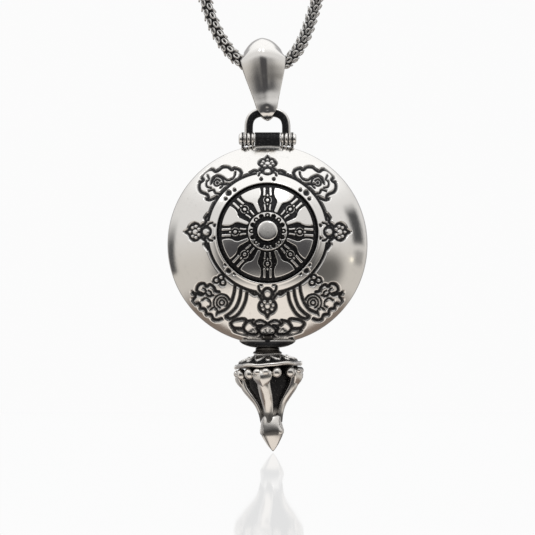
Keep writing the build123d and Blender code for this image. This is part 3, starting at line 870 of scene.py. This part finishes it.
def blob(centre, radii, degrees):
    """A closed egg-shaped lump, turned about the upright axis, as points and its grid."""
    count, rows = 28, 15
    theta = full_turn(count)[None, :]
    phi = np.linspace(0.02, math.pi - 0.02, rows)[:, None]
    x = radii[0] * np.sin(phi) * np.cos(theta)
    y = radii[1] * np.sin(phi) * np.sin(theta)
    z = radii[2] * np.cos(phi) * np.ones_like(theta)
    points = turned(np.stack([x, y, z], -1), degrees) + centre
    return points.reshape(-1, 3), (rows, count)


def sweep(path, across, deep):
    """Rings of a section carried along a path in the plane of its two coordinates."""
    path = np.asarray(path, float)
    tangent = np.gradient(path, axis=0)
    tangent /= np.linalg.norm(tangent, axis=1)[:, None]
    first = path[:, :1] + tangent[:, 1:] * across
    second = path[:, 1:] - tangent[:, :1] * across
    return np.stack([first, np.ones_like(first) * deep, second], -1).reshape(-1, 3)


def swept(path, wide, thick, power, count=20):
    """A bar along a path in the plane out from the axis; wide is across it, thick in the plane."""
    theta = full_turn(count)
    size = squared(theta, power)
    c, s = np.cos(theta) / size, np.sin(theta) / size
    return sweep(path, thick[:, None] * s, wide[:, None] * c), (len(path), count)


def joined(name, lumps, degrees, *nodes):
    """One cast object from closed lumps of rings, turned about the vajra's axis and leaned."""
    faces, start = [], 0
    for points, (rows, count) in lumps:
        faces += [tuple(face) for face in grid_faces(rows, count, start=start)]
        faces.append(tuple(start + k for k in range(count))[::-1])
        faces.append(tuple(start + (rows - 1) * count + k for k in range(count)))
        start += rows * count
    verts = turned(np.concatenate([lump[0] for lump in lumps]), degrees)
    verts = leaned(verts, VAJRA_TOP, -VAJRA_LEAN)
    obj = new_mesh(name, verts + (0, 0, CENTRE_Z), faces)
    return dress(obj, "cast", "vajra", "silver_cast", *nodes), verts


def leaf_head():
    """A prong's heart-shaped shield, ridged down its middle, as points and its grid."""
    levels = ((-18.45, 0.5, 4.2, 0.15), (-18.6, 0.95, 4.55, 0.35), (-18.9, 1.3, 4.9, 0.5),
              (-19.3, 1.5, 5.15, 0.62), (-19.8, 1.5, 5.25, 0.72), (-20.3, 1.28, 5.15, 0.72),
              (-20.8, 0.92, 4.85, 0.6), (-21.3, 0.5, 4.4, 0.42), (-21.7, 0.12, 4.0, 0.2))
    theta = full_turn(40)
    size = squared(theta, 1.15)
    c, s = np.cos(theta) / size, np.sin(theta) / size
    rings = [np.stack([front - deep * 1.3 + np.where(c > 0, deep * 1.3, deep) * c, half * s,
                       z + 0 * theta], 1) for z, half, front, deep in levels]
    return np.concatenate(rings), (len(levels), len(theta))


def make_prong(number):
    """One prong: a beaked head with a ball at each side, and a blade that runs in to the bud."""
    path = rounded([(3.4, -18.9), (3.7, -19.9), (3.45, -21.2), (2.65, -22.5), (1.85, -23.8),
                    (1.4, -25.2), (1.25, -26.6)], steps=5)
    share = np.linspace(0, 1, len(path))
    wide = np.interp(share, (0, 0.3, 0.5, 0.75, 1), (0.9, 1.0, 1.0, 0.78, 0.45))
    thick = np.interp(share, (0, 0.3, 0.6, 1), (0.85, 0.9, 0.66, 0.42))
    lumps = [swept(path, wide, thick, power=1.5), leaf_head()]
    for side in (-29, 29):
        c, s = math.cos(math.radians(side)), math.sin(math.radians(side))
        lumps.append(blob((4.25 * c, 4.25 * s, -19.3), (0.74, 0.74, 0.84), side))
        lumps.append(blob((4.35 * c, 4.35 * s, -18.85), (0.42, 0.5, 0.4), side))
    for side in (-0.62, 0.62):
        lumps.append(blob((4.72, side, -19.15), (0.5, 0.62, 0.52), 0))
    degrees = 90 * (number - 1) - PRONG_TURN
    obj, verts = joined(f"prong_{number}", lumps, degrees, f"vajra_prong_{number}")
    x, y, z = verts.T
    c, s = math.cos(math.radians(degrees)), math.sin(math.radians(degrees))
    reach = np.interp(z, (-27, -24.2, -22.6, -21.2, -19.9, -18), (0.7, 1.25, 2.0, 2.75, 3.2, 3.4))
    lean = LEAN_SLOPE * (VAJRA_TOP - z) * c
    inside = smooth_step((reach + lean - x * c - y * s + 0.2) / 0.5)
    foot = 0.8 * smooth_step((-25.0 - z) / 0.4)
    patina_and_painted_shade(obj, np.maximum.reduce([inside, foot, 0.85 * smooth_step((z + 18.9) / 0.3)]))


def make_core():
    """The black middle stem, the faceted bud and its four-sided point; the bud's lower half carries
    a painted dark reflection.
    """
    fill = np.array((3.2, 3.15, 2.95, 2.0, 1.35, 1.1))
    stem = swept([(0.0, z) for z in (-18.0, -19.6, -21.2, -22.8, -24.4, -26.4)], fill, fill,
                 power=2, count=32)
    levels = ((-25.5, 1.25), (-25.9, 1.52), (-26.5, 1.74), (-27.1, 1.86), (-27.8, 1.92),
              (-28.3, 1.84), (-28.45, 1.62), (-28.7, 1.56), (-29.3, 1.22), (-29.9, 0.86),
              (-30.4, 0.5), (-30.75, 0.2), (-30.9, 0.03))
    theta = full_turn(64)
    rings = []
    for z, wide in levels:
        power = 7.0 if z < -28.4 else 2.0 + 2.0 * (abs(z + 27) > 0.7)
        wide = wide * 0.9 / squared(theta, power)
        rings.append(level_ring(theta, wide, wide, z))
    bud = turned(np.concatenate(rings), 9.0)
    obj, verts = joined("bud_and_point", [stem, (bud, (len(levels), len(theta)))], 0, "vajra_core")
    x, z = verts[:, 0], verts[:, 2]
    # low is a painted dark patch, a painted reflection of the dark floor on the bud's lower half;
    # the groove ring below it is patina
    low = 0.85 * smooth_step((-26.95 - z) / 0.25) * (z > -28.4) * (np.abs(x - 0.5) < 1.15)
    black = np.maximum.reduce([smooth_step((z + 25.8) / 0.4), low,
                               0.8 * smooth_step((0.22 - np.abs(z + 28.47)) / 0.18)])
    corner = np.tile(squared(theta, 7), len(levels))
    edge = 0.6 * smooth_step((0.84 - corner) / 0.06) * (z[-len(corner):] < -28.6)
    black[-len(corner):] = np.maximum(black[-len(corner):], edge)
    patina_and_painted_shade(obj, black)


def canopy_relief(drop, angle):
    """How high the canopy's scrolls, beads and bottom band stand, from 0 to 1."""
    step, out = math.pi / 4, 3.9
    part = ((angle + step / 2) % step - step / 2) * out
    ball = smooth_step((0.42 - np.hypot(part, drop - 0.64)) / 0.13)
    gap = (angle % step - step / 2) * out
    smile = 0.26 + 0.40 * (1 - (gap / 1.05) ** 2)
    swag = smooth_step((0.24 * (1.15 - np.abs(gap)) + 0.06 - np.abs(drop - smile)) / 0.08)
    swag *= smooth_step((1.12 - np.abs(gap)) / 0.1)
    lip = smooth_step((0.06 - np.abs(drop - 0.06)) / 0.05)
    return np.maximum(np.maximum(swag, ball), 0.6 * lip)


def make_canopy():
    """The domed canopy with cast scrolls and a bright bottom band."""
    count = 300
    theta = full_turn(count)
    rings, shade = [], []
    for radius, z, black in ((1.0, -16.45, 1.0), (1.75, -16.42, 0.6), (1.95, -16.38, 0.1),
                             (2.12, -16.45, 0.0), (2.12, -16.62, 0.3), (2.0, -16.72, 1.0)):
        rings.append(level_ring(theta, radius, radius * 0.92, z))
        shade.append(np.full(count, black))
    for t in np.linspace(0, 1, 30):
        relief = canopy_relief(1.22 * t, theta)
        radius = 2.02 + 2.83 * t + 0.16 * relief
        rings.append(level_ring(theta, radius, radius, -16.74 - 1.18 * t**1.25 + 0.22 * relief))
        shade.append(1 - smooth_step((relief - 0.3) / 0.4))
    wavy = 0.09 * np.sin(theta * 5 + 0.6) + 0.04 * np.sin(theta * 11)
    for radius, z, black in ((4.9, -17.86, 0.6), (5.08, -17.92, 0.0), (5.16, -18.14, 0.0),
                             (5.06, -18.36, 0.0), (4.9, -18.42, 0.3), (4.5, -18.40, 1.0),
                             (3.0, -18.4, 1.0), (1.0, -18.4, 1.0)):
        rings.append(level_ring(theta, radius, radius, z + (wavy if radius > 4.8 else 0)))
        shade.append(np.full(count, black))
    obj = joined("canopy", [(np.concatenate(rings), (len(rings), count))], 0, "vajra_canopy")[0]
    patina_and_painted_shade(obj, np.concatenate(shade))


for number in (1, 2, 3, 4):
    make_prong(number)
make_core()
make_canopy()


# ---- the boss under the locket ----
def half_bowl(name, sign, body, *nodes):
    """Half of the shallow oval bowl under the locket, in front of the seam or behind it."""
    count = 60
    levels = ((-13.9, 3.5, 0.7), (-14.25, 4.05, 1.15), (-14.42, 4.2, 1.5), (-14.55, 4.2, 1.62),
              (-14.7, 4.08, 1.6), (-14.95, 3.75, 1.7), (-15.2, 3.2, 1.8), (-15.38, 2.6, 1.8),
              (-15.47, 2.1, 1.75), (-15.5, 1.7, 1.65), (-14.4, 1.65, 1.65), (-13.9, 1.65, 0.7))
    shade = (1.0, 0.9, 0.35, 0.4, 0.95, 1.0, 1.0, 0.9, 0.75, 1.0, 1.0, 1.0)
    theta = np.linspace(0, math.pi, count)
    seam = 0.012
    rings = [np.stack([wide * np.cos(theta), sign * np.maximum(deep * np.sin(theta), seam),
                       z + 0 * theta], 1) for z, wide, deep in levels]
    faces = [tuple(face) for face in grid_faces(len(levels), count, wrap=False)]
    close = grid_faces(2, count, wrap=False)
    last = (len(levels) - 1) * count
    faces += [tuple(face) for face in close % count + np.where(close < count, last, 0)]
    rim = [k * count for k in range(len(levels))]
    faces += [tuple(rim), tuple(r + count - 1 for r in rim)]
    obj = new_mesh(name, np.concatenate(rings) + (0, 0, CENTRE_Z), faces)
    patina_and_painted_shade(obj, np.repeat(shade, count))
    dress(obj, "cast", body, "silver_cast", *nodes)


def turned_ring(profile, count):
    """The points and quads of a ring turned about the upright axis, from (radius, z) pairs."""
    theta = full_turn(count)
    points = np.concatenate([level_ring(theta, r, r, z) for r, z in profile])
    return points + (0, 0, CENTRE_Z), ring_faces(len(profile), count)


def make_socket():
    """The threaded tube that the vajra screws up into, through the back half's bowl."""
    profile = [(1.16, -12.8), (1.6, -12.8), (1.6, -15.55), (1.5, -15.6), (1.16, -15.6)]
    dress(new_mesh("socket_tube", *turned_ring(profile, 48)), "black", "back", "silver_cast")


def make_neck():
    """The flared washer between the bowl and the canopy."""
    profile = [(1.12, -15.56), (1.78, -15.56), (1.8, -15.8), (1.86, -16.0), (2.1, -16.15),
               (2.2, -16.3), (2.12, -16.4), (1.12, -16.4)]
    obj = big_mesh("neck_ring", *turned_ring(profile, 72))
    dress(obj, "black", "vajra", "silver_cast", "neck_washer")


make_neck()
half_bowl("bowl_front", -1, "front", "front_lug")
half_bowl("bowl_back", 1, "back", "socket_boss")
make_socket()


# ---- the shackle ----
HINGE_Z = 15.95


def shackle_eye(profile, side, count):
    """The points of one eye, turned about the hinge's line, from (x, radius) pairs."""
    theta = full_turn(count)
    return np.concatenate([np.stack([x * side + 0 * theta, r * np.cos(theta),
                                     HINGE_Z + r * np.sin(theta)], 1) for x, r in profile])


def make_shackle():
    """The square-shouldered bow, blackened with worn edges, and its two grooved eyes."""
    half, top, spring, power = 2.84, 20.1, 17.4, 2.9
    around, eye_around = 32, 48
    t = np.linspace(0, math.pi, 41)
    c, s = np.cos(t), np.sin(t)
    arch = np.stack([half * np.sign(c) * np.abs(c) ** (2 / power),
                     spring + (top - spring) * np.abs(s) ** (2 / power)], 1)
    path = np.concatenate([[(half, 16.35), (half, 16.8)], arch, [(-half, 16.8), (-half, 16.35)]])
    theta = full_turn(around)
    corner = squared(theta, 5)
    verts = [sweep(path, 0.63 * np.cos(theta) / corner, 0.62 * np.sin(theta) / corner)]
    faces = [grid_faces(len(path), around)]
    rubbed = np.where(np.cos(theta) > 0.3, smooth_step((corner - 0.87) / 0.035), 1.0)
    black = [np.tile(rubbed, len(path))]
    # each eye's section: distance out from the middle, radius, blackness
    eye = np.array([(2.02, 0.5, 1), (2.02, 0.92, 0.6), (2.06, 1.06, 0.1), (2.34, 1.08, 0.1),
                    (2.42, 0.94, 1), (2.60, 0.94, 1), (2.68, 1.1, 0), (2.98, 1.1, 0),
                    (3.06, 0.94, 1), (3.2, 0.94, 1), (3.26, 1.06, 0.1), (3.42, 1.04, 0.1),
                    (3.45, 0.9, 0.6), (3.45, 0.5, 1)])
    start = len(verts[0])
    for side in (-1.0, 1.0):
        verts.append(shackle_eye(eye[:, :2], side, eye_around))
        faces.append(ring_faces(len(eye), eye_around) + start)
        black.append(np.repeat(eye[:, 2], eye_around))
        start += len(eye) * eye_around
    obj = big_mesh("shackle_bow", np.concatenate(verts) + (0, 0, CENTRE_Z), np.concatenate(faces))
    patina_and_painted_shade(obj, np.concatenate(black))
    dress(obj, "cast", "shackle", "silver_dark", "shackle")


make_shackle()


# ---- the pieces that stay as the CAD has them ----
KEPT = {"plain": ("back_shell", "bezel_rim", "hinge_pin", "axle_washer"),
        "dark": ("hinge_lug_left", "hinge_lug_right", "front_knuckle"),
        "black": ("vajra_shank",), "paper": ("mantra_scroll",), "thread": ("scroll_thread",)}
for material, names in KEPT.items():
    for name in names:
        paint(frame["nodes"][name], material)


# ---- camera, light and floor ----
VIEW_DISTANCE = 230.0
VIEW_WIDTH = 80.25
WHITE = 0.968
VIEW_RISE = math.radians(-5.0)
AIM_Z = CENTRE_Z - 3.5


def make_camera():
    """The view from a little below the locket, straight at its front."""
    camera = put_in("camera", bpy.data.cameras.new("camera"))
    camera.data.sensor_width = 36
    camera.data.lens = 36 * VIEW_DISTANCE / VIEW_WIDTH
    camera.data.clip_start = 0.01
    camera.data.clip_end = 20.0
    aim = Vector((0, 0, AIM_Z * MM))
    away = Vector((0, -math.cos(VIEW_RISE), math.sin(VIEW_RISE))) * VIEW_DISTANCE * MM
    camera.location = aim + away
    camera.rotation_euler = (-away).to_track_quat("-Z", "Y").to_euler()
    bpy.context.scene.camera = camera


def make_world():
    """A white tent: bright above, beige at the sides, dark toward the viewer's lower side."""
    scene = bpy.context.scene
    scene.world = bpy.data.worlds.new("tent")
    scene.world.use_nodes = True
    nodes = Nodes(scene.world.node_tree)
    nodes.tree.nodes.clear()
    way = nodes.add("ShaderNodeTexCoord").outputs["Generated"]
    x, y, z = nodes.add("ShaderNodeSeparateXYZ", {0: way}).outputs
    wide = nodes.math("ABSOLUTE", x)
    colour = (0.60, 0.57, 0.53, 1)

    def band(value, low, full_low, full_high, high):
        return nodes.times(nodes.ramp(value, low, full_low), nodes.ramp(value, high, full_high))

    def near(place, outside, inside):
        gap = nodes.add("ShaderNodeVectorMath", {0: way, 1: place}, operation="DISTANCE")
        return nodes.ramp(gap.outputs["Value"], outside, inside)

    def both(a, b, share=1.0):
        return nodes.times(nodes.times(a, b), share)

    def lay(share, *tint):
        nonlocal colour
        colour = nodes.mix(share, colour, (*tint, 1))

    lay(nodes.ramp(z, -0.25, 0.35), 0.76, 0.75, 0.74)
    lay(nodes.ramp(z, 0.5, 0.85), 1.08, 1.08, 1.08)
    lay(nodes.ramp(z, -0.48, -0.66), 0.86, 0.80, 0.74)
    front = both(nodes.ramp(y, -0.3, -0.62), nodes.ramp(wide, 0.88, 0.60))
    lay(both(front, band(z, -0.62, -0.32, 0.06, 0.36), 0.93), 0.03, 0.03, 0.035)
    lay(nodes.times(near((0.83, -0.48, -0.30), 0.38, 0.10), 0.85), 0.06, 0.058, 0.055)
    lay(both(nodes.ramp(y, -0.12, 0.02), nodes.ramp(z, -0.4, -0.62), 0.9), 0.15, 0.11, 0.085)
    left = both(band(y, 0.01, 0.08, 0.17, 0.25), band(z, -0.24, -0.20, 0.06, 0.40))
    left = both(left, nodes.ramp(x, -0.6, -0.8))
    right = both(band(y, -0.16, -0.08, 0.08, 0.16), band(z, 0.05, 0.12, 0.40, 0.54))
    low_right = both(band(y, -0.12, -0.04, 0.08, 0.14), band(z, -0.18, -0.10, 0.00, 0.04), 0.6)
    right = both(nodes.plus(right, low_right), nodes.ramp(x, 0.6, 0.8))
    lay(nodes.plus(left, right), 0.07, 0.07, 0.072)
    lay(near((0.99, -0.13, -0.10), 0.045, 0.01), 1.6, 1.5, 1.25)
    lay(both(band(y, 0.2, 0.36, 0.72, 0.9), nodes.ramp(z, 0.93, 0.7), 0.6), 0.16, 0.16, 0.18)
    lay(both(nodes.ramp(y, 0.86, 0.95), nodes.ramp(z, -0.05, 0.0)), 0.97, 0.97, 0.97)
    back = nodes.add("ShaderNodeBackground", {"Color": colour, "Strength": 1.0})
    white = nodes.add("ShaderNodeBackground", {"Color": (WHITE, WHITE, WHITE, 1), "Strength": 1.0})
    seen = nodes.add("ShaderNodeLightPath").outputs["Is Camera Ray"]
    chosen = nodes.add("ShaderNodeMixShader", {0: seen, 1: back.outputs[0], 2: white.outputs[0]})
    nodes.link(chosen.outputs[0], nodes.add("ShaderNodeOutputWorld"), "Surface")
    scene.view_settings.view_transform = "Standard"


def make_floor():
    """A pale glossy table just under the finial's tip."""
    half = 900.0
    low = (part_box("vajra_core")[0][2] / MM) - 0.12
    floor = new_mesh("floor", [(-half, -half, low), (half, -half, low), (half, half, low),
                               (-half, half, low)], [(0, 1, 2, 3)], smooth=False)
    material, nodes, shader, place = new_material("white_table")
    nodes.tree.nodes.remove(shader)
    cloud = nodes.noise(place, 0.02, 2.0, 0.5)
    tone = nodes.mix(nodes.times(cloud, 0.3), (0.972, 0.972, 0.972, 1), (0.962, 0.962, 0.966, 1))
    glow = nodes.add("ShaderNodeEmission", {"Color": tone, "Strength": 1.0})
    gloss = nodes.add("ShaderNodeBsdfGlossy", {"Color": (1, 1, 1, 1), "Roughness": 0.04})
    both = nodes.add("ShaderNodeMixShader", {0: 0.22, 1: glow.outputs[0], 2: gloss.outputs[0]})
    out = next(node for node in nodes.tree.nodes if node.bl_idname == "ShaderNodeOutputMaterial")
    nodes.link(both.outputs[0], out, "Surface")
    floor.data.materials.append(material)
    floor.visible_glossy = False
    floor.visible_diffuse = False


def make_lights():
    """A small key from above the viewer and a weaker one at the left, for the sparkle on edges."""
    for name, place, size, power in (("key", (0.06, -0.26, 0.24), 0.07, 0.06),
                                     ("rim", (-0.20, -0.16, 0.20), 0.05, 0.02)):
        light = bpy.data.lights.new(name, "AREA")
        light.size = size
        light.energy = power
        obj = put_in(name, light)
        obj.location = place
        aim = Vector((0, 0, CENTRE_Z * MM)) - Vector(place)
        obj.rotation_euler = aim.to_track_quat("-Z", "Y").to_euler()


make_camera()
make_world()
make_lights()
make_floor()
